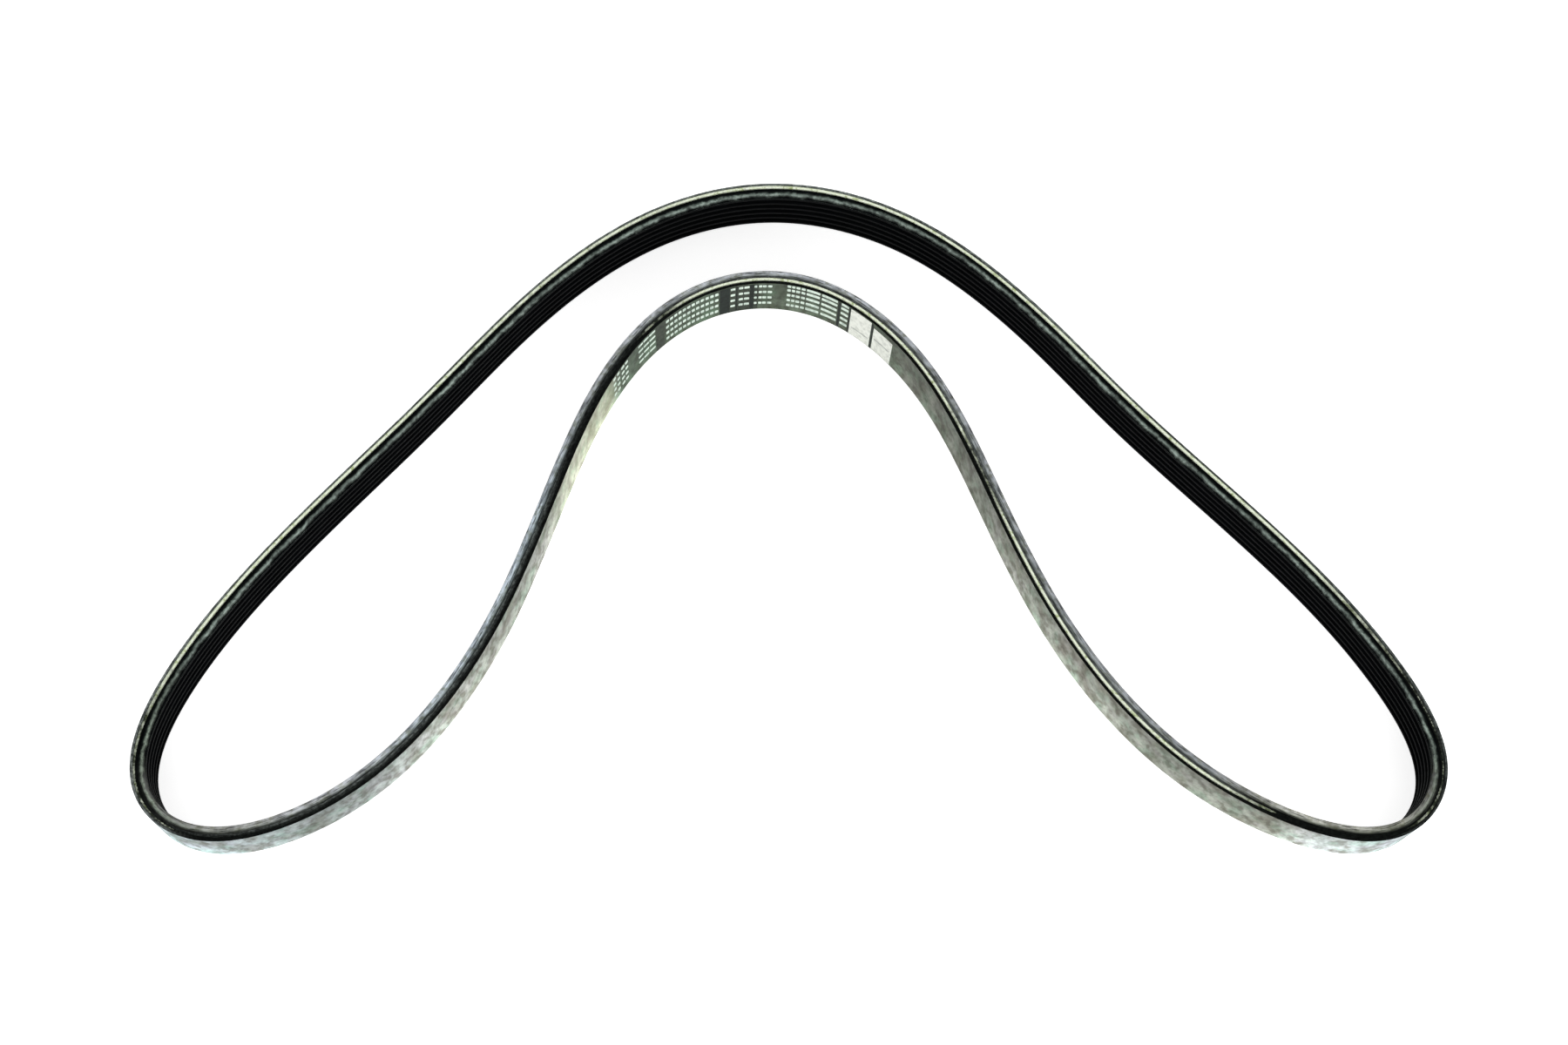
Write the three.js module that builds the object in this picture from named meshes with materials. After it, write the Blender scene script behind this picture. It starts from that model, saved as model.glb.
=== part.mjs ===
// A serpentine belt: an endless drive belt with ribs along its inside, standing on one cut edge
// in the horseshoe that it springs into when it is off its pulleys.
// Millimetres, +Z up. The origin is under the middle of the belt, on the surface that it stands on.
import * as THREE from "three";
import { NURBSCurve } from "three/addons/curves/NURBSCurve.js";

// Section
const ribCount = 6;
const ribPitch = 3.56;
const ribDepth = 2.4;
const grooveAngle = 40; // degrees between the two flanks of a groove
const grooveFloor = 0.5; // flat at the bottom of a groove
const bandThickness = 1.9; // cover and cord layer, from the smooth back to the groove floors
const cordDepth = 1.45; // from the smooth back to the middle of the cords inside

// Loop
const cordLength = 1060; // once round the loop, measured along the cords
const stationsPerPoint = 8; // cross-sections of the mesh for each point of the lay

// The lay of the belt, seen from above: points that pull a smooth closed curve towards them.
// They start at the crown, run round the right lobe, back along the inner strand and round the
// left lobe. Only their pattern counts, because the curve is scaled to the cord length.
const lay = [
  [-3.5, 99], [39.5, 87], [75.5, 54.5], [96, 29.5], [143, -13.5], [169, -44.5],
  [186.5, -77.5], [165.5, -103], [111, -81],
  [76, -40], [57, 2], [40.5, 42], [9.5, 69.5],
  [-29.5, 67], [-58.5, 33.5], [-78, -33], [-111, -79.5],
  [-153, -99], [-178, -91.5], [-184, -67.5],
  [-156, -23], [-104.5, 28], [-78, 60], [-44, 88],
];

const width = ribCount * ribPitch;
const thickness = bandThickness + ribDepth;
const flankRun = ribDepth * Math.tan(THREE.MathUtils.degToRad(grooveAngle / 2));

// The belt's section as points [depth from the smooth back, height above the surface].
// The belt is cut along groove middles, so each cut edge keeps half a groove floor.
function sectionOutline() {
  const outline = [[0, 0], [bandThickness, 0]];
  for (let rib = 0; rib < ribCount; rib++) {
    const rootLow = rib * ribPitch + grooveFloor / 2;
    const rootHigh = (rib + 1) * ribPitch - grooveFloor / 2;
    outline.push(
      [bandThickness, rootLow],
      [thickness, rootLow + flankRun],
      [thickness, rootHigh - flankRun],
      [bandThickness, rootHigh],
    );
  }
  outline.push([bandThickness, width], [0, width]);
  return outline;
}

// The line of the cords: a closed cubic spline through the lay, scaled to the cord length.
function cordLine() {
  const degree = 3;
  const controls = [...lay, ...lay.slice(0, degree)].map(([x, y]) => new THREE.Vector4(x, y, 0, 1));
  const knots = Array.from({ length: controls.length + degree + 1 }, (_, i) => i);
  const curve = new NURBSCurve(degree, knots, controls, degree, controls.length);
  const points = curve.getPoints(lay.length * stationsPerPoint).slice(0, -1);
  const length = points.reduce((sum, p, i) => sum + p.distanceTo(points.at(i - 1)), 0);
  return points.map((p) => p.multiplyScalar(cordLength / length));
}

// Sweeps the section along the loop. The lay runs clockwise seen from above, so the inside of
// the loop, where the ribs are, lies to the right of the way that the line runs.
function beltGeometry() {
  const outline = sectionOutline();
  const line = cordLine();
  const positions = [];
  const faces = [];
  line.forEach((point, i) => {
    const ahead = line[(i + 1) % line.length].clone().sub(line.at(i - 1)).normalize();
    for (const [depth, height] of outline) {
      const inward = depth - cordDepth;
      positions.push(point.x + ahead.y * inward, point.y - ahead.x * inward, height);
    }
    const here = i * outline.length;
    const next = ((i + 1) % line.length) * outline.length;
    for (let j = 0; j < outline.length; j++) {
      const k = (j + 1) % outline.length;
      faces.push(here + j, next + k, here + k, here + j, next + j, next + k);
    }
  });
  const geometry = new THREE.BufferGeometry();
  geometry.setAttribute("position", new THREE.Float32BufferAttribute(positions, 3));
  geometry.setIndex(faces);
  // The middle of the belt's extent goes over the origin.
  geometry.computeBoundingBox();
  const middle = geometry.boundingBox.getCenter(new THREE.Vector3());
  geometry.translate(-middle.x, -middle.y, 0);
  return geometry;
}

const rubber = new THREE.MeshStandardMaterial({
  color: 0x1d1f20,
  roughness: 0.75,
  metalness: 0,
  flatShading: true,
});

const belt = new THREE.Mesh(beltGeometry(), rubber);
belt.name = "belt";

const part = new THREE.Group();
part.name = "serpentine_belt";
part.add(belt);

export default part;
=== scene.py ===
"""A serpentine belt on a white table, seen from high above.

The belt is a ribbed body and a back cover, each swept round the loop, with a cord laid open in each
cut edge and printed marks on the back. Lengths are millimetres until a mesh is made, in metres.
"""

import math

import bpy
import numpy as np
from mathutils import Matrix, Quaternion, Vector


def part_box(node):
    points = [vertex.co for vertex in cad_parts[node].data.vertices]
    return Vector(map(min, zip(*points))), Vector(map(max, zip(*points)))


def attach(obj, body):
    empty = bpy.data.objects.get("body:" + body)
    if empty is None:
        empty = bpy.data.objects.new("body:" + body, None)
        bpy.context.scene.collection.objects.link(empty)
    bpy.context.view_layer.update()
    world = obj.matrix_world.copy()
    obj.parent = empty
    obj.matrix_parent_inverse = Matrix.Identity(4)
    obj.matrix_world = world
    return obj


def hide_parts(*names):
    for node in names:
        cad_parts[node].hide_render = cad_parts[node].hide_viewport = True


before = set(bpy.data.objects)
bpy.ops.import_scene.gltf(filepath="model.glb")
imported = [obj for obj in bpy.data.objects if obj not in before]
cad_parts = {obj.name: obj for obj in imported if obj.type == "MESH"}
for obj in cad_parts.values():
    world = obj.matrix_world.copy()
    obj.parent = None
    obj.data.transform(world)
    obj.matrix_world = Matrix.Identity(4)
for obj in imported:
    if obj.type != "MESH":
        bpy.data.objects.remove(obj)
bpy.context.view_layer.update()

MM = 0.001

# The belt's section, as in the CAD source
RIB_COUNT = 6
RIB_PITCH = 3.56
RIB_DEPTH = 2.4
GROOVE_ANGLE = math.radians(40)
GROOVE_FLOOR = 0.5
BAND_THICKNESS = 1.9
CORD_DEPTH = 1.45
WIDTH = RIB_COUNT * RIB_PITCH
THICKNESS = BAND_THICKNESS + RIB_DEPTH
FLANK_RUN = RIB_DEPTH * math.tan(GROOVE_ANGLE / 2)

# The loop's lay, as in the CAD source: points that pull a closed cubic spline towards them
CORD_LENGTH = 1060
LAY = [
    (-3.5, 99), (39.5, 87), (75.5, 54.5), (96, 29.5), (143, -13.5), (169, -44.5),
    (186.5, -77.5), (165.5, -103), (111, -81),
    (76, -40), (57, 2), (40.5, 42), (9.5, 69.5),
    (-29.5, 67), (-58.5, 33.5), (-78, -33), (-111, -79.5),
    (-153, -99), (-178, -91.5), (-184, -67.5),
    (-156, -23), (-104.5, 28), (-78, 60), (-44, 88),
]

# Rounding of the section's corners
BACK_CORNER = 0.14
EDGE_CORNER = 0.05
ROOT_CORNER = 0.2
TIP_CORNER = 0.3

# The back cover is a layer of its own, bonded to the ribbed body
COVER_THICKNESS = 0.36
COVER_OVERLAP = 0.05

# A strand of cord lies in a shallow trench along each cut edge
STRAND_RADIUS = 0.58
STRAND_INSET = 0.02  # how far its top lies under the cut edge where it is open
STRAND_DIP = 0.25  # how much deeper it lies where it is covered
STRAND_LAY = 3.4  # length of one full twist of the plies
PLIES = 3
PLY_RELIEF = 0.14  # depth of the grooves between the plies, as a share of the radius
TRENCH_HALF = 0.64
TRENCH_DROP = 0.6
TRENCH_WALL = 0.06

BODY_STATIONS = 800
STRAND_STATIONS = 3200
STRAND_SIDES = 12
SPLINE_STEPS = 200  # straight steps of the spline between two points of the lay
EXTENT_SAMPLES = 6000  # places at which the loop's extent is measured
FACE_WEIGHT = 70  # how strongly large faces keep their own normals
LINE_STRETCH = 10  # how many times longer than wide the fine lines of cutting and grinding are

# The outermost flanks lie within this of a cut edge
FLANK_ZONE = RIB_PITCH / 3
# Dust on the body grows from this depth on, and on the cover's edge it ends at this depth
DUST_START = 1.1
DUST_FADE = 0.9
RIM_DUST_END = 0.75
RIM_DUST_FADE = 0.3
BACK_GAIN = 1.75  # makes up for the brightness that the mottles of the back take away

# Places round the loop are distances clockwise from the middle of the outer crown, seen from above.
# Each list holds (place, value) stops.
# How open the strand lies in the upper cut edge and in the lower one
OPEN_UPPER = [
    (0, 0.9), (20, 1), (185, 1), (212, 0.6), (235, 0.4), (255, 0.38), (275, 0.46), (292, 0.1), (308, 0),
    (324, 0.55), (345, 1), (420, 1), (446, 0.46), (464, 0.76), (488, 1), (548, 1), (572, 0.5), (588, 0.12),
    (765, 0.1), (785, 0.4), (812, 0.48), (836, 0.85), (860, 1), (930, 1), (960, 0.85),
]
OPEN_LOWER = [(0, 0), (120, 0), (150, 1), (420, 1), (450, 0), (700, 0), (730, 1), (980, 1), (1010, 0)]
# How deep the strand lies under the back
STRAND_DEPTHS = [
    (0, 1.1), (60, 1.3), (130, 1.02), (175, 1.0), (205, 1.25), (250, 1.28), (322, 1.42), (400, 1.46),
    (430, 1.52), (455, 1.6), (480, 1.5), (500, 1.36), (545, 1.45), (580, 1.38), (700, 1.3), (790, 1.1),
    (835, 1.18), (880, 0.95), (940, 0.98), (1020, 1.02),
]
# How light the back is: partly the dust and wear of handling, partly painted light, most on the lobes and
# the left inner strand where more light falls
PALE = [
    (0, 0.3), (60, 0.2), (140, 0.35), (215, 0.25), (262, 0.8), (300, 0.9), (324, 0.36), (346, 0.3),
    (380, 0.5), (418, 0.42), (444, 0.17), (486, 0.11), (500, 0), (587, 0.02), (595, 0.74), (616, 0.95),
    (634, 0.6), (668, 0.46), (705, 0.72), (738, 0.3), (772, 0.72), (800, 0.8), (830, 0.35), (900, 0.2),
    (980, 0.32),
]
# Painted light: where the back is tinted a cool, bluish grey rather than a warm one, as light falls on the
# lobes
COOL = [(0, 0), (245, 0), (272, 1), (300, 0.6), (322, 0.1), (690, 0.2), (745, 0.9), (790, 1), (825, 0)]
# Painted light: where it is tinted a light yellowish cream and shows fewer spots, as light falls on the
# steep stretch of the left strand
CREAM = [(0, 0), (588, 0), (595, 1), (622, 0.8), (646, 0)]
# Where it is printed, and a little greener
PRINTED = [(0, 0), (486, 0), (496, 0.6), (546, 0.6), (552, 1), (584, 1), (600, 0)]
# How bright the ground flank of the outermost ribs is: its own light grey, made brighter as painted light
# where light falls on the flanks of the inner strand, and 0 where only the painted highlight line shows
SILVER = [
    (0, 0), (252, 0), (284, 0.8), (305, 1.4), (335, 0.9), (440, 0.9), (560, 1.3), (600, 1), (640, 1.6),
    (745, 1.6), (768, 1), (788, 0.35), (808, 0), (900, 0),
]
# How that flank is tinted: 0 beige, 0.5 not at all, 1 blue
TINT = [
    (0, 0.5), (240, 0.5), (285, 0), (318, 0.1), (345, 0.6), (590, 0.6), (640, 1), (700, 0.9), (740, 0.5),
    (775, 0.2), (800, 0.2), (850, 0.5),
]
# How dusty the cut edge is: on the body, and on the thin edge of the cover
DUSTY_BODY = [
    (0, 0), (318, 0), (345, 0.6), (480, 0.48), (555, 0.48), (578, 0.1), (615, 0.1), (640, 0.54), (750, 0.54),
    (775, 0.18), (800, 0),
]
DUSTY_RIM = [
    (0, 1), (118, 1), (140, 0.5), (180, 0.5), (215, 0.75), (245, 0.6), (275, 0.15), (290, 0), (775, 0),
    (792, 0.8), (850, 1),
]


# The loop

def spline(points, u):
    """Closed uniform cubic spline and its first derivative at parameters u, from near points[0]."""
    points = np.array(points, float)
    span = np.floor(u).astype(int)
    t = (u - span)[:, None]
    weights = [(1 - t) ** 3, 3 * t**3 - 6 * t**2 + 4, -3 * t**3 + 3 * t**2 + 3 * t + 1, t**3]
    slopes = [-3 * (1 - t) ** 2, 9 * t**2 - 12 * t, -9 * t**2 + 6 * t + 3, 3 * t**2]
    around = [points[(span - 1 + k) % len(points)] for k in range(4)]
    place = sum(w * p for w, p in zip(weights, around)) / 6
    slope = sum(w * p for w, p in zip(slopes, around)) / 6
    return place, slope


class Loop:
    """The line of the cords, by the distance round the loop."""

    def __init__(self):
        self.u = np.linspace(0, len(LAY), SPLINE_STEPS * len(LAY) + 1)
        steps = np.hypot(*np.diff(spline(LAY, self.u)[0], axis=0).T)
        self.scale = CORD_LENGTH / steps.sum()
        self.reach = np.concatenate([[0], np.cumsum(steps)]) * self.scale
        self.middle = np.zeros(2)
        self.fit = np.ones(2)
        back = self.points(np.linspace(0, CORD_LENGTH, EXTENT_SAMPLES), -CORD_DEPTH)
        own_low, own_high = back.min(0), back.max(0)
        self.middle = (own_low + own_high) / 2
        # The smooth loop is a hair wider than the faceted solid, so it is eased into that box
        low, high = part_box("belt")
        self.fit = np.array([high.x - low.x, high.y - low.y]) / MM / (own_high - own_low)

    def points(self, along, inward):
        """Points in plan at these distances round the loop, this far in from the cord line."""
        place, slope = spline(LAY, np.interp(np.mod(along, CORD_LENGTH), self.reach, self.u))
        ahead = slope / np.hypot(*slope.T)[:, None]
        side = np.stack([ahead[:, 1], -ahead[:, 0]], axis=1)
        return (place * self.scale + side * np.reshape(inward, (-1, 1)) - self.middle) * self.fit


loop = Loop()


def belt_points(along, depth, height):
    """Points in metres, by distance round the loop, depth from the back and height."""
    along, depth, height = np.broadcast_arrays(along, depth, height)
    plan = loop.points(along.ravel(), depth.ravel() - CORD_DEPTH)
    return (np.column_stack([plan, height.ravel()]) * MM).reshape(*along.shape, 3)


def ring_points(along, depth, height, across=1):
    """The same points with the loop opened into a true ring, for patterns without a seam.

    Lengths across the belt are multiplied by across, which draws a pattern out along the belt."""
    along, depth, height = np.broadcast_arrays(along, depth, height)
    turn = along * 2 * math.pi / CORD_LENGTH
    radius = CORD_LENGTH / (2 * math.pi) - depth * across
    return np.stack([radius * np.cos(turn), radius * np.sin(turn), height * across], axis=-1) * MM


def stops_at(along, stops):
    """A value round the loop, eased from stop to stop."""
    places = np.array([place for place, _ in stops], float)
    values = np.array([value for _, value in stops], float)
    places = np.concatenate([[places[-1] - CORD_LENGTH], places, [places[0] + CORD_LENGTH]])
    values = np.concatenate([[values[-1]], values, [values[0]]])
    along = np.mod(along, CORD_LENGTH)
    k = np.clip(np.searchsorted(places, along, side="right") - 1, 0, len(places) - 2)
    t = np.clip((along - places[k]) / (places[k + 1] - places[k]), 0, 1)
    t = t * t * (3 - 2 * t)
    return values[k] * (1 - t) + values[k + 1] * t


# Meshes

def add_mesh(name, points, faces, materials, face_slots, attributes):
    """A smooth-shaded quad mesh with named point attributes."""
    mesh = bpy.data.meshes.new(name)
    mesh.vertices.add(len(points))
    mesh.vertices.foreach_set("co", points.ravel())
    mesh.loops.add(faces.size)
    mesh.loops.foreach_set("vertex_index", faces.ravel())
    mesh.polygons.add(len(faces))
    mesh.polygons.foreach_set("loop_start", np.arange(0, faces.size, 4))
    mesh.polygons.foreach_set("use_smooth", np.ones(len(faces), bool))
    for material in materials:
        mesh.materials.append(material)
    mesh.polygons.foreach_set("material_index", face_slots)
    for attribute_name, values in attributes.items():
        kind, field = ("FLOAT_VECTOR", "vector") if values.shape[-1] == 3 else ("FLOAT", "value")
        attribute = mesh.attributes.new(attribute_name, kind, "POINT")
        attribute.data.foreach_set(field, np.ascontiguousarray(values, dtype=np.float32).ravel())
    mesh.update(calc_edges=True)
    piece = bpy.data.objects.new(name, mesh)
    bpy.context.scene.collection.objects.link(piece)
    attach(piece, "root")
    return piece


def sweep(name, along, depth, height, materials, side_slots, **extra):
    """A closed tube: one closed section at each station, given as arrays of stations by points."""
    along, depth, height = np.broadcast_arrays(along[:, None], depth, height)
    stations, count = along.shape
    i = np.arange(stations)[:, None]
    j = np.arange(count)[None, :]
    here, after, follow = i * count, (i + 1) % stations * count, (j + 1) % count
    faces = np.stack([here + j, after + j, after + follow, here + follow], axis=-1).reshape(-1, 4)
    points = belt_points(along, depth, height).reshape(-1, 3)
    attributes = {
        "ring": ring_points(along, depth, height).reshape(-1, 3),
        "lines": ring_points(along, depth, height, LINE_STRETCH).reshape(-1, 3),
    }
    for key, values in extra.items():
        attributes[key] = np.broadcast_to(values, along.shape).reshape(-1, 1)
    return add_mesh(name, points, faces, materials, np.tile(side_slots, stations), attributes)


def even_normals(piece):
    """Keeps large faces flat beside their small rounded corners."""
    modifier = piece.modifiers.new("even_normals", "WEIGHTED_NORMAL")
    modifier.weight = FACE_WEIGHT


def rounded(corners):
    """Round corners of a closed section: (point, radius, steps, tag) to (x, y, tag) points."""
    points = []
    for k, (corner, radius, steps, tag) in enumerate(corners):
        before, at, following = (
            np.array(p, float) for p in (corners[k - 1][0], corner, corners[(k + 1) % len(corners)][0])
        )
        if not radius:
            points.append((*at, tag))
            continue
        back, on = before - at, following - at
        back, on = back / np.linalg.norm(back), on / np.linalg.norm(on)
        half = math.acos(float(back @ on)) / 2
        centre = at + (back + on) / np.linalg.norm(back + on) * radius / math.sin(half)
        start = at + back * radius / math.tan(half) - centre
        end = at + on * radius / math.tan(half) - centre
        turn = math.pi - 2 * half
        for step in range(steps + 1):
            t = step / steps
            point = (math.sin((1 - t) * turn) * start + math.sin(t * turn) * end) / math.sin(turn)
            points.append((*(centre + point), tag))
    return points


# Materials

class Nodes:
    """A short way to write a node material."""

    def __init__(self, name):
        self.material = bpy.data.materials.new(name)
        self.material.use_nodes = True
        self.tree = self.material.node_tree
        self.shader = self.tree.nodes["Principled BSDF"]

    def set(self, socket, value):
        if isinstance(value, bpy.types.NodeSocket):
            self.tree.links.new(value, socket)
        else:
            socket.default_value = value

    def add(self, kind, inputs, **settings):
        node = self.tree.nodes.new(kind)
        for key, value in settings.items():
            setattr(node, key, value)
        for key, value in inputs.items():
            self.set(node.inputs[key], value)
        return node

    def ring(self, scale=(1, 1, 1)):
        """Places on the belt with the loop opened into a ring."""
        vector = self.add("ShaderNodeAttribute", {}, attribute_name="ring").outputs["Vector"]
        return self.add("ShaderNodeMapping", {"Vector": vector, "Scale": scale}).outputs["Vector"]

    def lines(self, width, detail=3, roughness=0.55):
        """Noise drawn out along the belt, in lines of about this width in millimetres."""
        vector = self.add("ShaderNodeAttribute", {}, attribute_name="lines").outputs["Vector"]
        return self.noise(vector, width * LINE_STRETCH, detail, roughness)

    def value(self, name):
        """A value that the mesh's points carry."""
        return self.add("ShaderNodeAttribute", {}, attribute_name=name).outputs["Fac"]

    def noise(self, vector, size, detail=3, roughness=0.55):
        """Noise with features of about this size in millimetres."""
        inputs = {"Vector": vector, "Scale": 1 / (size * MM), "Detail": detail, "Roughness": roughness}
        return self.add("ShaderNodeTexNoise", inputs).outputs["Fac"]

    def ramp(self, value, *stops):
        """Colours or greys between (position, colour) stops."""
        node = self.add("ShaderNodeValToRGB", {"Fac": value})
        elements = node.color_ramp.elements
        while len(elements) < len(stops):
            elements.new(0.5)
        for element, (position, colour) in zip(elements, stops):
            element.position = position
            rgb = colour if isinstance(colour, tuple) else (colour,) * 3
            element.color = (*rgb, 1)
        return node.outputs["Color"]

    def mix(self, factor, first, second, blend="MIX"):
        node = self.add(
            "ShaderNodeMix", {0: factor}, data_type="RGBA", blend_type=blend, clamp_result=True
        )
        for socket, value in ((6, first), (7, second)):
            self.set(node.inputs[socket], (*value, 1) if isinstance(value, tuple) else value)
        return node.outputs[2]

    def times(self, first, second):
        return self.mix(1.0, first, second, "MULTIPLY")

    def math(self, operation, first, second):
        return self.add("ShaderNodeMath", {0: first, 1: second}, operation=operation).outputs[0]

    def bump(self, height, distance):
        """Bump of this height in millimetres."""
        return self.add("ShaderNodeBump", {"Height": height, "Distance": distance * MM}).outputs["Normal"]

    def finish(self, colour, roughness, specular, normal):
        self.set(self.shader.inputs["Base Color"], colour)
        self.set(self.shader.inputs["Roughness"], roughness)
        self.set(self.shader.inputs["Specular IOR Level"], specular)
        self.set(self.shader.inputs["Normal"], normal)
        return self.material


def back_cover_material():
    """The smooth back: dusty grey over black, softly clouded, with a faint play of colour; lighter in
    stretches, partly with dust and partly as painted light, tinted bluer and yellower where light falls, and
    made lighter towards the bottom as painted light.
    """
    nodes = Nodes("back_cover")
    clouds = nodes.noise(nodes.ring((1, 1, 0.5)), 6, 2, 0.5)
    spots = nodes.noise(nodes.ring((1, 1, 0.5)), 2.4, 3, 0.5)
    grain = nodes.noise(nodes.ring((1, 1, 0.6)), 0.8, 2)
    tint = nodes.noise(nodes.ring((1, 1, 0.6)), 5, 2)
    # Dust and painted light: the lighter colour is tinted bluer and yellower where light falls, and laid on
    # more where more light falls
    pale = nodes.mix(nodes.value("cool"), (0.84, 0.88, 0.76), (0.74, 0.86, 0.9))
    pale = nodes.mix(nodes.value("cream"), pale, (0.88, 0.94, 0.74))
    field = nodes.mix(nodes.value("pale"), (0.11, 0.125, 0.092), pale)
    spotted = nodes.ramp(spots, (0.36, (0.46, 0.44, 0.41)), (0.5, 0.8), (0.62, 1.0))
    for mottle in (
        nodes.ramp(clouds, (0.36, (0.56, 0.54, 0.5)), (0.5, 0.8), (0.64, 1.0)),
        nodes.mix(nodes.math("MULTIPLY", nodes.value("cream"), 0.7), spotted, (0.84, 0.84, 0.8)),
        nodes.ramp(grain, (0.36, 0.8), (0.6, 1.0)),
        nodes.ramp(tint, (0.36, (0.88, 1.0, 0.94)), (0.47, 1.0), (0.53, 1.0), (0.64, (1.0, 0.95, 1.0))),
        # Painted light: the back is made lighter towards the bottom, as the white table lights it from below
        nodes.ramp(nodes.value("low"), (0.0, 0.54), (0.5, 0.7), (1.0, 1.0)),
        nodes.mix(nodes.value("printed"), (1.0, 1.0, 1.0), (0.76, 1.1, 0.86)),
    ):
        field = nodes.times(field, mottle)
    field = nodes.times(field, (BACK_GAIN,) * 3)
    return nodes.finish(field, 0.6, 0.12, nodes.bump(grain, 0.03))


def cut_rubber_material():
    """The cut edge: black rubber with the fine lines of the knife."""
    nodes = Nodes("cut_rubber")
    lines = nodes.lines(0.3)
    specks = nodes.noise(nodes.ring(), 0.7, 3)
    colour = nodes.ramp(lines, (0.36, (0.001, 0.0015, 0.0014)), (0.62, (0.007, 0.009, 0.0075)))
    greyed = nodes.ramp(lines, (0.36, (0.06, 0.07, 0.066)), (0.62, (0.34, 0.38, 0.36)))
    colour = nodes.mix(nodes.value("greyed"), colour, greyed)
    colour = nodes.times(colour, nodes.ramp(specks, (0.4, 0.4), (0.6, 1.0)))
    return nodes.finish(colour, 0.6, 0.032, nodes.bump(lines, 0.04))


def rib_rubber_material():
    """The ribs: black ground rubber; the outermost flanks carry a silvery band, ragged and lined, partly
    painted light: a painted highlight line along the ridge, and a wider band made brighter where light falls
    on it.
    """
    nodes = Nodes("rib_rubber")
    specks = nodes.noise(nodes.ring((0.7, 0.7, 1)), 0.7, 3)
    ragged = nodes.noise(nodes.ring((0.6, 0.6, 1)), 1.2, 4, 0.65)
    patches = nodes.noise(nodes.ring(), 5, 2, 0.5)
    lines = nodes.lines(0.34, 4)
    plain = nodes.ramp(lines, (0.38, (0.0006, 0.0008, 0.001)), (0.64, (0.0024, 0.0029, 0.0033)))
    share = nodes.math("ADD", nodes.value("share"), nodes.math("MULTIPLY", ragged, 0.4))
    share = nodes.math("ADD", share, nodes.math("MULTIPLY", patches, 0.4))
    share = nodes.math("SUBTRACT", share, 0.4)
    # A painted highlight: a thin light line along the ridge of the outermost flank, where it catches the
    # light
    narrow = nodes.ramp(
        share, (0.06, 0.0), (0.26, (0.008, 0.012, 0.01)), (0.44, (0.25, 0.31, 0.27)),
        (0.56, (0.34, 0.41, 0.37)), (0.7, (0.1, 0.12, 0.105)), (0.85, 0.0),
    )
    narrow = nodes.times(narrow, nodes.ramp(specks, (0.4, 0.5), (0.54, 1.0)))
    narrow = nodes.times(narrow, nodes.ramp(patches, (0.36, 1.0), (0.6, 0.45)))
    # The wide band: the flank's own light grey, with painted light brightening it towards the tip
    wide = nodes.ramp(
        nodes.value("share"), (0.0, (0.015, 0.018, 0.016)), (0.2, (0.08, 0.088, 0.085)),
        (0.45, (0.39, 0.42, 0.42)), (0.6, (0.49, 0.51, 0.54)), (1.0, (0.43, 0.45, 0.47)),
    )
    wide = nodes.times(wide, nodes.ramp(lines, (0.36, 0.2), (0.46, 0.7), (0.56, 1.0)))
    wide = nodes.times(wide, nodes.ramp(ragged, (0.36, (0.6, 0.6, 0.5)), (0.54, 1.0)))
    wide = nodes.times(wide, nodes.ramp(patches, (0.38, 0.6), (0.52, 1.0)))
    tint = nodes.ramp(nodes.value("tint"), (0.0, (1.0, 0.97, 0.82)), (0.5, 0.96), (1.0, (0.86, 0.94, 1.0)))
    band = nodes.times(nodes.mix(nodes.value("silver"), narrow, wide), tint)
    # Painted light: the band is brightened further where the most light falls on the flanks
    shine = nodes.math("MAXIMUM", nodes.value("silver"), 1.0)
    colour = nodes.mix(1.0, plain, nodes.times(band, shine), "ADD")
    return nodes.finish(colour, 0.5, 0.009, nodes.bump(specks, 0.05))


def cord_material():
    """Cream fibre with a touch of yellow-green, darkened between the plies as painted shade, smeared with
    black rubber where it dips under.
    """
    nodes = Nodes("tensile_cord")
    fibres = nodes.lines(0.16)
    soil = nodes.noise(nodes.ring((0.6, 0.6, 1)), 0.9, 4, 0.6)
    smears = nodes.noise(nodes.ring(), 3, 5, 0.7)
    colour = nodes.ramp(
        fibres, (0.36, (0.57, 0.64, 0.42)), (0.48, (0.79, 0.86, 0.67)), (0.6, (0.87, 0.92, 0.8))
    )
    clean = nodes.math("ADD", nodes.value("clean"), nodes.math("MULTIPLY", smears, 1.4))
    for shade in (
        nodes.ramp(soil, (0.34, (0.55, 0.6, 0.4)), (0.46, 1.0)),
        # Painted shade: darker in the grooves between the plies
        nodes.ramp(nodes.value("ply"), (0.0, (0.7, 0.75, 0.58)), (0.5, 1.0)),
        nodes.ramp(nodes.math("MULTIPLY", clean, 0.5), (0.53, (0.02, 0.025, 0.018)), (0.8, 1.0)),
    ):
        colour = nodes.times(colour, shade)
    return nodes.finish(colour, 0.75, 0.15, nodes.bump(fibres, 0.04))


def ink_material(name, low, high):
    """Matt print, a little worn."""
    nodes = Nodes(name)
    wear = nodes.noise(nodes.ring((1, 1, 0.6)), 1.4, 4, 0.6)
    colour = nodes.ramp(wear, (0.36, low), (0.56, high))
    return nodes.finish(colour, 0.6, 0.08, nodes.bump(wear, 0.01))


# The belt's body and cover

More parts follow.
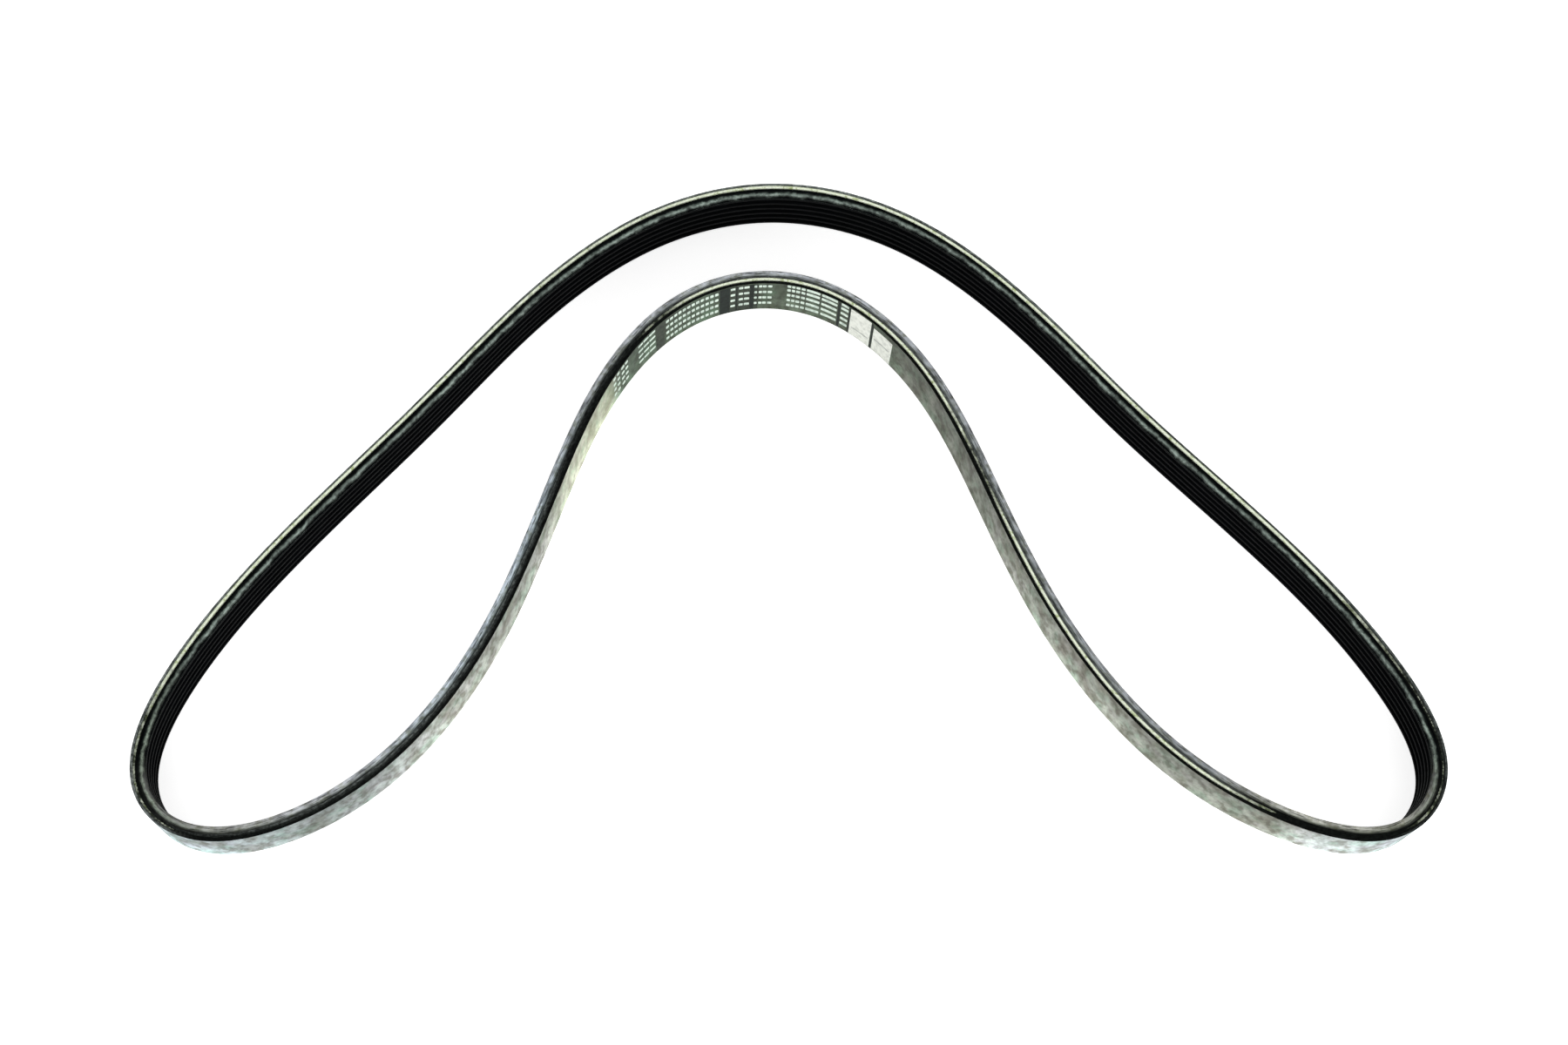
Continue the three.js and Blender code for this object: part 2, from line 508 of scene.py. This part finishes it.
def body_corners():
    """Corners of the ribbed body's section (depth, height), with the trenches' points between."""
    inner = COVER_THICKNESS - COVER_OVERLAP
    corners = [((inner, 0), 0, 0, "edge"), ((BAND_THICKNESS, 0), EDGE_CORNER, 1, "edge")]
    for rib in range(RIB_COUNT):
        low = rib * RIB_PITCH + GROOVE_FLOOR / 2
        high = (rib + 1) * RIB_PITCH - GROOVE_FLOOR / 2
        corners += [
            ((BAND_THICKNESS, low), ROOT_CORNER, 1, "rib"),
            ((THICKNESS, low + FLANK_RUN), TIP_CORNER, 3, "rib"),
            ((THICKNESS, high - FLANK_RUN), TIP_CORNER, 3, "rib"),
            ((BAND_THICKNESS, high), ROOT_CORNER, 1, "rib"),
        ]
    corners += [((BAND_THICKNESS, WIDTH), EDGE_CORNER, 1, "edge"), ((inner, WIDTH), 0, 0, "edge")]
    return corners


def trench(height, order):
    """Points across a trench: (offset from the strand's depth, height, tag, share of the drop)."""
    places = [
        (-TRENCH_HALF - TRENCH_WALL, 0), (-TRENCH_HALF, 1), (0, 1),
        (TRENCH_HALF, 1), (TRENCH_HALF + TRENCH_WALL, 0),
    ]
    return [(offset, height, "trench", drop) for offset, drop in places[::order]]


def make_body():
    """The ribbed body, open in a trench along each cut edge where the strand lies open."""
    section = [(*point, 0) for point in rounded(body_corners())]
    section = section[:1] + trench(0, 1) + section[1:-1] + trench(WIDTH, -1) + section[-1:]
    tags = [tag for _, _, tag, _ in section]
    in_trench = np.array([tag == "trench" for tag in tags])
    across = np.array([x for x, _, _, _ in section])
    height = np.array([y for _, y, _, _ in section])
    drop = np.array([d for _, _, _, d in section])
    along = np.arange(BODY_STATIONS) * CORD_LENGTH / BODY_STATIONS
    strand = stops_at(along, STRAND_DEPTHS)[:, None]
    depth = across[None, :] + np.where(in_trench, strand, 0)
    upper = np.where(height > WIDTH / 2, drop, 0) * stops_at(along, OPEN_UPPER)[:, None]
    lower = np.where(height > WIDTH / 2, 0, drop) * stops_at(along, OPEN_LOWER)[:, None]
    height = height[None, :] + (lower - upper) * TRENCH_DROP
    # The outermost flanks: from 0 at the root to 1 at the tip
    outermost = (height < FLANK_ZONE) | (height > WIDTH - FLANK_ZONE)
    share = np.where(outermost & ~in_trench, (depth - BAND_THICKNESS) / RIB_DEPTH, -1)
    ribbed = [tags[k] == "rib" or tags[(k + 1) % len(tags)] == "rib" for k in range(len(tags))]
    dusty = stops_at(along, DUSTY_BODY)[:, None] * np.clip((depth - DUST_START) / DUST_FADE, 0, 1)
    dusty += stops_at(along, DUSTY_RIM)[:, None] * np.clip((RIM_DUST_END - depth) / RIM_DUST_FADE, 0, 1)
    piece = sweep(
        "ribbed_body", along, depth, height,
        [cut_rubber_material(), rib_rubber_material()], np.array(ribbed, int),
        # The flank's brightness round the loop is partly painted light
        share=share, silver=stops_at(along, SILVER)[:, None], tint=stops_at(along, TINT)[:, None],
        greyed=dusty,
    )
    even_normals(piece)
    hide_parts("belt")


def make_cover():
    """The back cover, with its own thin edge beside the cut rubber."""
    section = rounded([
        ((COVER_THICKNESS, WIDTH), EDGE_CORNER, 1, "edge"),
        ((0, WIDTH), BACK_CORNER, 3, "back"),
        ((0, WIDTH / 2), 0, 0, "back"),
        ((0, 0), BACK_CORNER, 3, "back"),
        ((COVER_THICKNESS, 0), EDGE_CORNER, 1, "edge"),
    ])
    depth = np.array([x for x, _, _ in section])[None, :]
    height = np.array([y for _, y, _ in section])[None, :]
    along = np.arange(BODY_STATIONS) * CORD_LENGTH / BODY_STATIONS
    on_back = (depth[0] < BACK_CORNER / 2) & (np.roll(depth[0], -1) < BACK_CORNER / 2)
    piece = sweep(
        "back_cover", along, depth, height,
        [cut_rubber_material(), back_cover_material()], on_back.astype(int),
        # The back's tones round the loop are partly dust and partly painted light, and low makes it lighter
        # towards the bottom as painted light
        pale=stops_at(along, PALE)[:, None], cool=stops_at(along, COOL)[:, None],
        cream=stops_at(along, CREAM)[:, None], printed=stops_at(along, PRINTED)[:, None],
        low=1 - height / WIDTH, greyed=stops_at(along, DUSTY_RIM)[:, None],
    )
    even_normals(piece)
    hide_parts("belt")


def make_strand(name, stops, edge, inwards):
    """Twisted plies, all but flush with the cut edge where open and sunk under it where not."""
    along = np.arange(STRAND_STATIONS) * CORD_LENGTH / STRAND_STATIONS
    turn = along * 2 * math.pi * round(CORD_LENGTH / STRAND_LAY) / CORD_LENGTH
    angle = -np.arange(STRAND_SIDES) * 2 * math.pi / STRAND_SIDES
    ply = np.abs(np.cos(PLIES / 2 * (angle[None, :] - turn[:, None])))
    radius = STRAND_RADIUS * (1 - PLY_RELIEF + PLY_RELIEF * ply)
    sunk = STRAND_INSET + (1 - stops_at(along, stops)) * STRAND_DIP
    centre = edge + inwards * (STRAND_RADIUS + sunk)
    depth = stops_at(along, STRAND_DEPTHS)[:, None] + radius * np.cos(angle)
    height = centre[:, None] + radius * np.sin(angle)
    piece = sweep(
        name, along, depth, height, [cord_material()], np.zeros(STRAND_SIDES, int),
        clean=stops_at(along, stops)[:, None], ply=ply,
    )


# The print on the back: plain bars, dashes and panels, each a thin patch that follows the back

PRINT_PROUD = 0.03
PRINT_SUNK = 0.03
PRINT_STEP = 0.8  # longest facet of a patch along the belt
CORNER_STEPS = 4
FULLEST_INSET = 0.98  # how far a patch may close towards its ends, as a share of its corner
DASH_CORNER = 0.35
DASH_MARGIN = 0.3  # least distance between a dash and the upper edge of the back
PANEL_CORNER = 0.2
BAR_CORNER = 0.1
LINE_PROUD = 2 * PRINT_PROUD
WASH_PROUD = 0.016

# Inks: the colour where it is worn and where it is full
INKS = {
    "mark_ink": ((0.5, 0.6, 0.53), (0.78, 0.9, 0.8)),
    "panel_ink": ((0.72, 0.74, 0.68), (0.93, 0.95, 0.88)),
    "line_ink": ((0.4, 0.42, 0.39), (0.6, 0.62, 0.58)),
    "bar_ink": ((0.003, 0.006, 0.004), (0.009, 0.016, 0.012)),
    "wash_ink": ((0.018, 0.024, 0.017), (0.042, 0.053, 0.038)),
}
# Panels: (start, end, lowest height, highest height)
PANELS = [(493.2, 500.6, 0.4, 18), (501.6, 509, 0.4, 20.6)]
PANEL_LINES = [(494, 500, 9.4, 10.4), (502.2, 508.4, 6, 6.8)]
# Bars between the blocks of marks, over the full width
BARS = [(500.75, 501.45), (509.1, 509.6), (512.5, 513.3), (539.4, 540.5), (544.3, 544.8), (546.7, 549.8)]
# Dark washes under the marks, lower than they are
WASHES = [(538.1, 549.8), (568.9, 572.3)]
BAR_HEIGHTS = (0.5, 20.9)
# Rows of dashes: (heights of the rows, height of a dash, (start, end) of each dash)
DASH_ROWS = [
    ((4.8, 8.9, 13, 17, 20.2), 1.9, [
        (509.8, 512.3), (513.6, 518.7), (519.3, 523.5), (523.9, 525.1), (525.5, 526.7),
        (527, 528), (528.3, 529.4),
    ]),
    ((5.3, 9.8, 14.3, 19), 1.8, [
        (533.9, 535.2), (535.6, 536.7), (536.9, 537.9), (538.4, 539.2),
        (540.7, 542.3), (542.6, 543.9), (545, 546.4),
    ]),
    ((4.2, 8.9, 13.6, 18.3), 2.1, [(550.2 + 1.54 * k, 551.3 + 1.54 * k) for k in range(12)]),
    ((5.8, 10.3, 14.8, 19.3), 1.6, [(572.6, 575), (575.3, 577.5), (577.8, 579.8)]),
    ((5.8, 10.3, 14.8, 19.3), 2.0, [(584.8, 586.1), (586.6, 588), (589, 590.2), (591, 592.2)]),
]


def patch(start, end, low, high, corner):
    """Stations of one rounded patch: rows of (along, lower height, upper height)."""
    corner = min(corner, (end - start) / 2, (high - low) / 2)
    bend = corner * (1 - np.cos(np.linspace(0, math.pi / 2, CORNER_STEPS)))
    middle = np.linspace(start + corner, end - corner, 2 + int((end - start) / PRINT_STEP))
    along = np.concatenate([start + bend[:-1], middle, end - bend[::-1][1:]])
    inset = np.zeros_like(along)
    for reach in (along - start, end - along):
        short = np.clip(corner - reach, 0, None)
        inset += corner - np.sqrt(np.clip(corner**2 - short**2, 0, None))
    inset = np.minimum(inset, corner * FULLEST_INSET)
    return along, low + inset, high - inset


def make_print(name, patches, ink, proud=PRINT_PROUD):
    """Every patch of one ink in one mesh of thin closed blocks."""
    material = ink_material(ink, *INKS[ink])
    columns, faces, total = [], [], 0
    for start, end, low, high, corner in patches:
        along, bottom, top = patch(start, end, low, high, corner)
        outer, inner = np.full_like(along, -proud), np.full_like(along, PRINT_SUNK)
        block = np.stack([
            np.stack([along, outer, bottom], -1), np.stack([along, inner, bottom], -1),
            np.stack([along, inner, top], -1), np.stack([along, outer, top], -1),
        ], axis=1)
        columns.append(block.reshape(-1, 3))
        count = len(along)
        for i in range(count - 1):
            for j in range(4):
                k = (j + 1) % 4
                a, b = total + i * 4, total + (i + 1) * 4
                faces.append((a + j, a + k, b + k, b + j))
        last = total + (count - 1) * 4
        faces += [(total + 3, total + 2, total + 1, total), (last, last + 1, last + 2, last + 3)]
        total += 4 * count
    place = np.concatenate(columns)
    points = belt_points(place[:, 0], place[:, 1], place[:, 2])
    ring = ring_points(place[:, 0], place[:, 1], place[:, 2])
    faces = np.array(faces)
    piece = add_mesh(name, points, faces, [material], np.zeros(len(faces), int), {"ring": ring})
    piece.data.shade_flat()


def make_marks():
    """The whole print, in five inks."""
    dashes = [
        (start, end, row - size / 2, min(row + size / 2, WIDTH - DASH_MARGIN), DASH_CORNER)
        for rows, size, places in DASH_ROWS
        for row in rows
        for start, end in places
    ]
    make_print("print_dashes", dashes, "mark_ink")
    make_print("print_panels", [(*panel, PANEL_CORNER) for panel in PANELS], "panel_ink")
    make_print("print_lines", [(*line, PANEL_CORNER) for line in PANEL_LINES], "line_ink", LINE_PROUD)
    make_print("print_bars", [(*bar, *BAR_HEIGHTS, BAR_CORNER) for bar in BARS], "bar_ink")
    washes = [(*wash, *BAR_HEIGHTS, BAR_CORNER) for wash in WASHES]
    make_print("print_washes", washes, "wash_ink", WASH_PROUD)


# Table, light and camera

CAMERA_LENS = 67.09
CAMERA_AZIMUTH = math.radians(5.858)
CAMERA_ELEVATION = math.radians(74.203)
CAMERA_DISTANCE = 842.97
CAMERA_ROLL = math.radians(5.827)
CAMERA_TARGET = (-1.51, 0.04, 0)
CAMERA_CLIP = (0.01, 100)
FLOOR_HALF = 30000
FLOOR_DROP = 0.05
FLOOR_GREY = 0.9
FLOOR_ROUGHNESS = 0.9
FLOOR_GLOW = 0.66  # white added where the camera, a reflection or a refraction sees the floor
WORLD_STRENGTH = 0.75
# Lamps face the belt: (name, place in metres, width and height in metres, watts)
LAMPS = [
    ("front_softbox", (0.5, -1.7, 1.0), (2.0, 1.0), 18),
    ("back_softbox", (0.2, 1.7, 1.3), (2.0, 1.0), 10),
]


def place_on(thing, location, facing, roll=0):
    """Stands a camera or lamp at a place in metres, looking along facing."""
    thing.location = location
    thing.rotation_mode = "QUATERNION"
    thing.rotation_quaternion = facing.to_track_quat("-Z", "Y") @ Quaternion((0, 0, 1), roll)
    bpy.context.scene.collection.objects.link(thing)


def make_camera():
    data = bpy.data.cameras.new("camera")
    data.lens = CAMERA_LENS
    data.clip_start, data.clip_end = CAMERA_CLIP
    camera = bpy.data.objects.new("camera", data)
    flat = math.cos(CAMERA_ELEVATION)
    forward = Vector((
        math.sin(CAMERA_AZIMUTH) * flat, math.cos(CAMERA_AZIMUTH) * flat, -math.sin(CAMERA_ELEVATION)
    ))
    location = (Vector(CAMERA_TARGET) - forward * CAMERA_DISTANCE) * MM
    place_on(camera, location, forward, CAMERA_ROLL)
    bpy.context.scene.camera = camera


def make_floor():
    """A white table that keeps a faint shadow."""
    half, low = FLOOR_HALF * MM, -FLOOR_DROP * MM
    corners = [(-half, -half, low), (half, -half, low), (half, half, low), (-half, half, low)]
    mesh = bpy.data.meshes.new("floor")
    mesh.from_pydata(corners, [], [(0, 1, 2, 3)])
    nodes = Nodes("floor_white")
    ray = nodes.add("ShaderNodeLightPath", {}).outputs
    seen = nodes.math("MAXIMUM", ray["Is Camera Ray"], ray["Is Glossy Ray"])
    seen = nodes.math("MAXIMUM", seen, ray["Is Transmission Ray"])
    nodes.set(nodes.shader.inputs["Base Color"], (FLOOR_GREY, FLOOR_GREY, FLOOR_GREY, 1))
    nodes.set(nodes.shader.inputs["Roughness"], FLOOR_ROUGHNESS)
    nodes.set(nodes.shader.inputs["Specular IOR Level"], 0.0)
    nodes.set(nodes.shader.inputs["Emission Color"], (1, 1, 1, 1))
    nodes.set(nodes.shader.inputs["Emission Strength"], nodes.math("MULTIPLY", seen, FLOOR_GLOW))
    mesh.materials.append(nodes.material)
    floor = bpy.data.objects.new("floor", mesh)
    bpy.context.scene.collection.objects.link(floor)


def make_lamp(name, location, size, watts):
    data = bpy.data.lights.new(name, "AREA")
    data.shape = "RECTANGLE"
    data.size, data.size_y = size
    data.energy = watts
    place_on(bpy.data.objects.new(name, data), location, -Vector(location))


def make_world():
    world = bpy.data.worlds.new("studio")
    bpy.context.scene.world = world
    world.use_nodes = True
    background = world.node_tree.nodes["Background"]
    background.inputs["Color"].default_value = (1, 1, 1, 1)
    background.inputs["Strength"].default_value = WORLD_STRENGTH


make_camera()
make_body()
make_cover()
make_strand("cord_in_upper_edge", OPEN_UPPER, WIDTH, -1)
make_strand("cord_in_lower_edge", OPEN_LOWER, 0, 1)
make_marks()
make_floor()
make_world()
for lamp in LAMPS:
    make_lamp(*lamp)
bpy.context.scene.view_settings.view_transform = "Standard"
